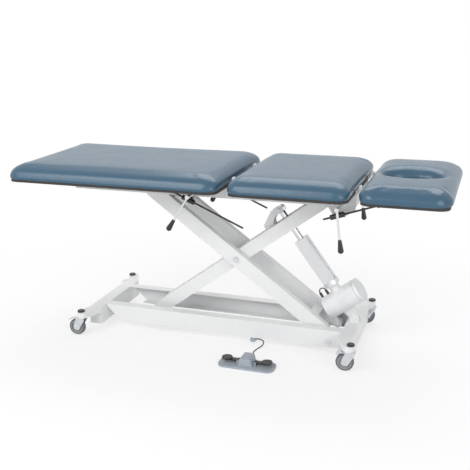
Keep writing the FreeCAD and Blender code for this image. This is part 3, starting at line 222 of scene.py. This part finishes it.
def shade(colour, factor):
    return tuple(channel * factor for channel in colour)


def vinyl():
    m = Nodes("blue_vinyl")
    blue = (0.040, 0.100, 0.158)
    colour = m.ramp(m.noise(6, 4), [(0.35, shade(blue, 0.98)), (0.65, shade(blue, 1.02))])
    grain = m.bump(m.cells(900), 0.10, 0.0003)
    creases = m.bump(m.noise(260, 3, 0.6), 0.05, 0.0004, grain)
    rough = m.spread(m.noise(12, 2), 0.26, 0.30)
    return m.finish(colour, rough, creases, Specular_IOR_Level=0.45)


def plywood():
    m = Nodes("plywood")
    grain = m.noise(22, 6, 0.6, (2.0, 30.0, 30.0))
    # Painted shade: the board's colour is kept near black so that its rim under the pads reads as the shadow
    # line beneath them. The lighter and darker streaks are the wood's own grain.
    colour = m.ramp(grain, [(0.3, (0.024, 0.023, 0.023)), (0.7, (0.046, 0.042, 0.040))])
    normal = m.bump(grain, 0.25, 0.0006)
    return m.finish(colour, m.spread(grain, 0.6, 0.75), normal)


def paint():
    m = Nodes("white_paint")
    white = (0.80, 0.805, 0.81)
    colour = m.ramp(m.noise(5, 4), [(0.3, shade(white, 0.975)), (0.7, white)])
    peel = m.bump(m.noise(420, 2, 0.5), 0.08, 0.0004)
    return m.finish(colour, m.spread(m.noise(30, 3), 0.30, 0.38), peel)


def zinc():
    m = Nodes("zinc_steel")
    colour = m.ramp(m.noise(60, 4), [(0.3, (0.64, 0.66, 0.69)), (0.7, (0.74, 0.76, 0.79))])
    normal = m.bump(m.noise(500, 3), 0.08, 0.0003)
    return m.finish(colour, m.spread(m.noise(90, 3), 0.26, 0.40), normal, Metallic=1.0)


def chrome():
    m = Nodes("chrome")
    colour = m.ramp(m.noise(30, 2), [(0.3, (0.72, 0.73, 0.75)), (0.7, (0.78, 0.79, 0.81))])
    normal = m.bump(m.noise(260, 2, 0.5), 0.03, 0.0003)
    return m.finish(colour, m.spread(m.noise(80, 3), 0.07, 0.14), normal, Metallic=1.0)


def dark_steel():
    m = Nodes("dark_steel")
    colour = m.ramp(m.noise(70, 4), [(0.3, (0.035, 0.036, 0.038)), (0.7, (0.075, 0.076, 0.080))])
    normal = m.bump(m.noise(420, 3), 0.10, 0.0003)
    return m.finish(colour, m.spread(m.noise(60, 3), 0.30, 0.45), normal, Metallic=0.7)


def aluminium():
    m = Nodes("grey_aluminium")
    brushed = m.noise(60, 4, 0.6, (30.0, 30.0, 2.0))
    colour = m.ramp(brushed, [(0.3, (0.68, 0.69, 0.70)), (0.7, (0.77, 0.78, 0.79))])
    return m.finish(colour, m.spread(brushed, 0.34, 0.46), m.bump(brushed, 0.06, 0.0003), Metallic=0.85)


def moulded(name, colour, rough):
    m = Nodes(name)
    tint = m.ramp(m.noise(14, 4), [(0.3, shade(colour, 0.93)), (0.7, shade(colour, 1.05))])
    normal = m.bump(m.noise(600, 3, 0.55), 0.12, 0.0004)
    return m.finish(tint, m.spread(m.noise(50, 3), rough - 0.05, rough + 0.06), normal)


def rubber():
    m = Nodes("tread_rubber")
    colour = m.ramp(m.noise(40, 5), [(0.3, (0.115, 0.120, 0.130)), (0.7, (0.170, 0.176, 0.188))])
    normal = m.bump(m.noise(350, 4), 0.2, 0.0004)
    return m.finish(colour, m.spread(m.noise(40, 3), 0.55, 0.70), normal)


materials = {
    "blue_vinyl": vinyl(),
    "plywood": plywood(),
    "white_paint": paint(),
    "zinc_steel": zinc(),
    "chrome": chrome(),
    "dark_steel": dark_steel(),
    "grey_aluminium": aluminium(),
    "pale_plastic": moulded("pale_plastic", (0.78, 0.79, 0.80), 0.38),
    "grey_plastic": moulded("grey_plastic", (0.36, 0.40, 0.45), 0.42),
    "black_plastic": moulded("black_plastic", (0.018, 0.018, 0.019), 0.34),
    "wheel_grey": moulded("wheel_grey", (0.36, 0.37, 0.38), 0.42),
    "tread_rubber": rubber(),
    "cord_pvc": moulded("cord_pvc", (0.030, 0.031, 0.033), 0.42),
}

make_camera()
make_cord(materials["cord_pvc"])

for subpart in frame["record"]["subparts"]:
    obj = frame["nodes"][subpart["node"]]
    obj.data.materials.clear()
    obj.data.materials.append(materials[subpart["material_slot"]])


# Pads: a rounded outline lofted through a crowned section, then inflated as cloth
def outline(left, right, low, high, left_radius, right_radius):
    """Points round a rectangle, anticlockwise from above, with one corner radius at left and one at right."""
    corners = ((right, high, right_radius, 0), (left, high, left_radius, 90), (left, low, left_radius, 180),
               (right, low, right_radius, 270))
    points = []
    for x, y, radius, start in corners:
        centre_x = x - math.copysign(radius, x - (left + right) / 2)
        centre_y = y - math.copysign(radius, y - (low + high) / 2)
        for step in range(CORNER_STEPS + 1):
            angle = math.radians(start + 90 * step / CORNER_STEPS)
            points.append((centre_x + radius * math.cos(angle), centre_y + radius * math.sin(angle)))
    return points


def quarter(roll):
    """Offsets along a quarter turn, from a vertical side to level: inward, and down from the level part."""
    turns = [math.radians(90 * step / ROLL_STEPS) for step in range(ROLL_STEPS + 1)]
    return [(roll[0] * (1 - math.cos(turn)), roll[1] * (1 - math.sin(turn))) for turn in turns]


def pad_section(height):
    """How far each ring lies inside the outline, and its height over the pad's lower edge."""
    hem = list(reversed(quarter(PAD_HEM)))
    roll = [(inward, height - PAD_CROWN - level) for inward, level in quarter(PAD_ROLL)]
    crown = [(inward, height - PAD_CROWN * share) for inward, share in CROWN_STEPS]
    return [(PAD_BASE_INSET, 0.0)] + hem + roll + crown


def skin(mesh, rings):
    """Faces between rings of equal length, with both ends closed."""
    count = len(rings[0])
    for below, above in zip(rings, rings[1:]):
        for index in range(count):
            following = (index + 1) % count
            mesh.faces.new((below[index], below[following], above[following], above[index]))
    mesh.faces.new(list(reversed(rings[0])))
    mesh.faces.new(rings[-1])
    bmesh.ops.recalc_face_normals(mesh, faces=mesh.faces)


def mesh_object(name, mesh):
    data = bpy.data.meshes.new(name)
    mesh.to_mesh(data)
    mesh.free()
    return link(bpy.data.objects.new(name, data))


def take_out(pad, tool):
    """Cuts a tool out of a pad and deletes the tool."""
    cut = pad.modifiers.new("cut", "BOOLEAN")
    cut.operation = "DIFFERENCE"
    cut.solver = "EXACT"
    cut.object = tool
    apply_modifiers(pad)
    bpy.data.objects.remove(tool)


def ease_hinge_side(pad, face, inward, low, high):
    """Takes the wrap away at a hinge, and eases the pad's lower edge there."""
    outside = face - inward * TOOL_SIDE
    board_edge = face + inward * BOARD_INSET
    eased_top = BOARD_TOP + 2 * HINGE_EASE
    profile = [(outside, low.z - TOOL_END), (board_edge, low.z - TOOL_END), (board_edge, BOARD_TOP),
               (face + inward * HINGE_EASE, BOARD_TOP), (face, eased_top), (outside, eased_top)]
    ends = (low.y - TOOL_SIDE, high.y + TOOL_SIDE)
    mesh = bmesh.new()
    skin(mesh, [[mesh.verts.new((x, y, z)) for x, z in profile] for y in ends])
    take_out(pad, mesh_object("hinge_side_tool", mesh))


def make_pad(name, node, body, left_radius, right_radius, voxel, hinges, hole=None):
    """One pad in place of its plain solid, with its hinge sides eased and its face hole cut."""
    low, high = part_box(node)
    left = low.x + (HINGE_SIDE_INSET if "left" in hinges else PAD_INSET)
    right = high.x - (HINGE_SIDE_INSET if "right" in hinges else PAD_INSET)
    bottom = low.z + PAD_RAISE
    mesh = bmesh.new()
    rings = []
    for inward, level in pad_section(high.z - bottom - PAD_INSET):
        from_side = PAD_INSET + inward
        sharper = from_side * CORNER_KEPT
        ring = outline(left + inward, right - inward, low.y + from_side, high.y - from_side,
                       left_radius - sharper, right_radius - sharper)
        rings.append([mesh.verts.new((x, y, bottom + level)) for x, y in ring])
    skin(mesh, rings)
    pad = mesh_object(name, mesh)
    if "left" in hinges:
        ease_hinge_side(pad, low.x, 1, low, high)
    if "right" in hinges:
        ease_hinge_side(pad, high.x, -1, low, high)
    if hole:
        cut_hole(pad, hole, low.z, high.z - PAD_INSET)
    inflate(pad, voxel)
    pad.data.materials.append(materials["blue_vinyl"])
    smooth(pad)
    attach(pad, body)
    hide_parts(node)


def cut_hole(pad, half, bottom, top):
    """Takes the oval face hole out, with a soft rim that rolls into it."""
    foot = [(wide, bottom + up) for wide, up in HOLE_FOOT]
    rim = [(inward, top - level) for inward, level in quarter(HOLE_ROLL)]
    turns = [2 * math.pi * step / HOLE_STEPS for step in range(HOLE_STEPS)]
    mesh = bmesh.new()
    rings = []
    for wide, level in foot + rim + [(HOLE_ROLL[0], top + TOOL_END)]:
        across, along = half[0] + wide, half[1] + wide
        rings.append([mesh.verts.new((FACE_HOLE.x + across * math.cos(turn),
                                      FACE_HOLE.y + along * math.sin(turn), level)) for turn in turns])
    skin(mesh, rings)
    take_out(pad, mesh_object("hole_tool", mesh))


def apply_modifiers(obj):
    """Puts the modifiers' result into the mesh and removes them."""
    graph = bpy.context.evaluated_depsgraph_get()
    graph.update()
    done = bpy.data.meshes.new_from_object(obj.evaluated_get(graph), preserve_all_data_layers=True,
                                           depsgraph=graph)
    old = obj.data
    obj.modifiers.clear()
    obj.data = done
    bpy.data.meshes.remove(old)


# Inflating: how the cover is held, how it swells, and how it is drawn taut after
HELD_ABOVE_BOARD = 0.002
COVER_STIFFNESS = (30, 8, 4)
COVER_MASS = 0.35
PRESSURE = 4
CLOTH_QUALITY = 4
LAST_FRAME = 20
SWELL_LIMIT = 0.005
TAUT_FACTOR = 0.5
TAUT_PASSES = 24


def swell(pad, start):
    """Cloth under light pressure, held at the wrap round the board, with each point's travel limited."""
    held = pad.vertex_groups.new(name="held")
    low = [index for index, place in enumerate(start) if place.z < BOARD_TOP + HELD_ABOVE_BOARD]
    held.add(low, 1.0, "REPLACE")
    cloth = pad.modifiers.new("cloth", "CLOTH")
    tension, compression, bending = COVER_STIFFNESS
    cloth.settings.quality = CLOTH_QUALITY
    cloth.settings.mass = COVER_MASS
    cloth.settings.tension_stiffness = tension
    cloth.settings.compression_stiffness = compression
    cloth.settings.bending_stiffness = bending
    cloth.settings.use_pressure = True
    cloth.settings.uniform_pressure_force = PRESSURE
    cloth.settings.vertex_group_mass = "held"
    cloth.settings.effector_weights.gravity = 0
    cloth.collision_settings.use_collision = False
    cloth.point_cache.frame_end = LAST_FRAME
    for number in range(1, LAST_FRAME + 1):
        scene.frame_set(number)
    apply_modifiers(pad)
    scene.frame_set(1)
    for vertex, place in zip(pad.data.vertices, start):
        moved = vertex.co - place
        if moved.length > SWELL_LIMIT:
            vertex.co = place + moved.normalized() * SWELL_LIMIT


def inflate(pad, voxel):
    """Voxel remesh, swelling as cloth, drawn taut, then one subdivision."""
    remesh = pad.modifiers.new("remesh", "REMESH")
    remesh.mode = "VOXEL"
    remesh.voxel_size = voxel
    apply_modifiers(pad)
    start = [vertex.co.copy() for vertex in pad.data.vertices]
    swell(pad, start)
    taut = pad.modifiers.new("taut", "SMOOTH")
    taut.factor = TAUT_FACTOR
    taut.iterations = TAUT_PASSES
    apply_modifiers(pad)
    finer = pad.modifiers.new("finer", "SUBSURF")
    finer.levels = 1
    finer.render_levels = 1


make_pad("foot_cushion", "foot_pad", "foot_section", 0.060, 0.060, 0.006, ("right",))
make_pad("centre_cushion", "centre_pad", "top_frame", 0.060, 0.060, 0.006, ("left", "right"))
make_pad("head_cushion", "head_pad", "head_section", 0.060, 0.068, 0.005, ("left",), FACE_HOLE_HALF)


# Floor, backdrop and light
FLOOR_WHITE = 0.68
WORLD_LIGHT = 0.54
FLOOR_FADE = (0.8, 1.9)
FLOOR_HALF = 14


def seen_directly(tree):
    """One for rays from the camera, and for glossy and transmitted ones."""
    path = tree.nodes.new("ShaderNodeLightPath")
    total = path.outputs["Is Camera Ray"]
    for name in ("Is Glossy Ray", "Is Transmission Ray"):
        either = tree.nodes.new("ShaderNodeMath")
        either.operation = "MAXIMUM"
        tree.links.new(total, either.inputs[0])
        tree.links.new(path.outputs[name], either.inputs[1])
        total = either.outputs["Value"]
    return total


def stage_material():
    material = bpy.data.materials.new("floor_white")
    material.use_nodes = True
    tree = material.node_tree
    shader = tree.nodes["Principled BSDF"]
    shader.inputs["Base Color"].default_value = (0.90, 0.90, 0.90, 1)
    shader.inputs["Roughness"].default_value = 0.9
    shader.inputs["Specular IOR Level"].default_value = 0.1
    white = tree.nodes.new("ShaderNodeEmission")
    white.inputs["Strength"].default_value = 1.0
    place = tree.nodes.new("ShaderNodeTexCoord")
    away = tree.nodes.new("ShaderNodeVectorMath")
    away.operation = "LENGTH"
    tree.links.new(place.outputs["Object"], away.inputs[0])
    fade = tree.nodes.new("ShaderNodeMapRange")
    fade.inputs["From Min"].default_value = FLOOR_FADE[0]
    fade.inputs["From Max"].default_value = FLOOR_FADE[1]
    fade.inputs["To Min"].default_value = FLOOR_WHITE
    fade.inputs["To Max"].default_value = 1.0
    tree.links.new(away.outputs["Value"], fade.inputs["Value"])
    share = tree.nodes.new("ShaderNodeMath")
    share.operation = "MULTIPLY"
    tree.links.new(fade.outputs["Result"], share.inputs[1])
    tree.links.new(seen_directly(tree), share.inputs[0])
    mix = tree.nodes.new("ShaderNodeMixShader")
    tree.links.new(share.outputs["Value"], mix.inputs["Fac"])
    tree.links.new(shader.outputs["BSDF"], mix.inputs[1])
    tree.links.new(white.outputs["Emission"], mix.inputs[2])
    tree.links.new(mix.outputs["Shader"], tree.nodes["Material Output"].inputs["Surface"])
    return material


def make_stage():
    mesh = bmesh.new()
    signs = ((-1, -1), (1, -1), (1, 1), (-1, 1))
    mesh.faces.new([mesh.verts.new((x * FLOOR_HALF, y * FLOOR_HALF, 0)) for x, y in signs])
    floor = mesh_object("floor", mesh)
    floor.data.materials.append(stage_material())


def area_light(name, at, target, size, power):
    data = bpy.data.lights.new(name, "AREA")
    data.shape = "RECTANGLE"
    data.size, data.size_y = size
    data.energy = power
    lamp = link(bpy.data.objects.new(name, data))
    lamp.location = at
    lamp.rotation_mode = "QUATERNION"
    lamp.rotation_quaternion = (Vector(target) - Vector(at)).to_track_quat("-Z", "Y")


def make_world():
    world = bpy.data.worlds.new("studio")
    scene.world = world
    world.use_nodes = True
    tree = world.node_tree
    out = tree.nodes["World Output"]
    light = tree.nodes["Background"]
    light.inputs["Color"].default_value = (1, 1, 1, 1)
    light.inputs["Strength"].default_value = WORLD_LIGHT
    seen = tree.nodes.new("ShaderNodeBackground")
    seen.inputs["Color"].default_value = (1, 1, 1, 1)
    seen.inputs["Strength"].default_value = 1.0
    mix = tree.nodes.new("ShaderNodeMixShader")
    tree.links.new(seen_directly(tree), mix.inputs["Fac"])
    tree.links.new(light.outputs["Background"], mix.inputs[1])
    tree.links.new(seen.outputs["Background"], mix.inputs[2])
    tree.links.new(mix.outputs["Shader"], out.inputs["Surface"])


make_stage()
make_world()
area_light("key", (-1.6, -3.0, 2.8), (0, 0, 0.4), (2.6, 2.0), 80)
area_light("fill", (3.0, -2.6, 1.8), (0, 0, 0.4), (2.0, 2.0), 40)
area_light("top", (0, 2.2, 3.6), (0, 0, 0.6), (3.4, 2.0), 60)
scene.view_settings.view_transform = "Standard"
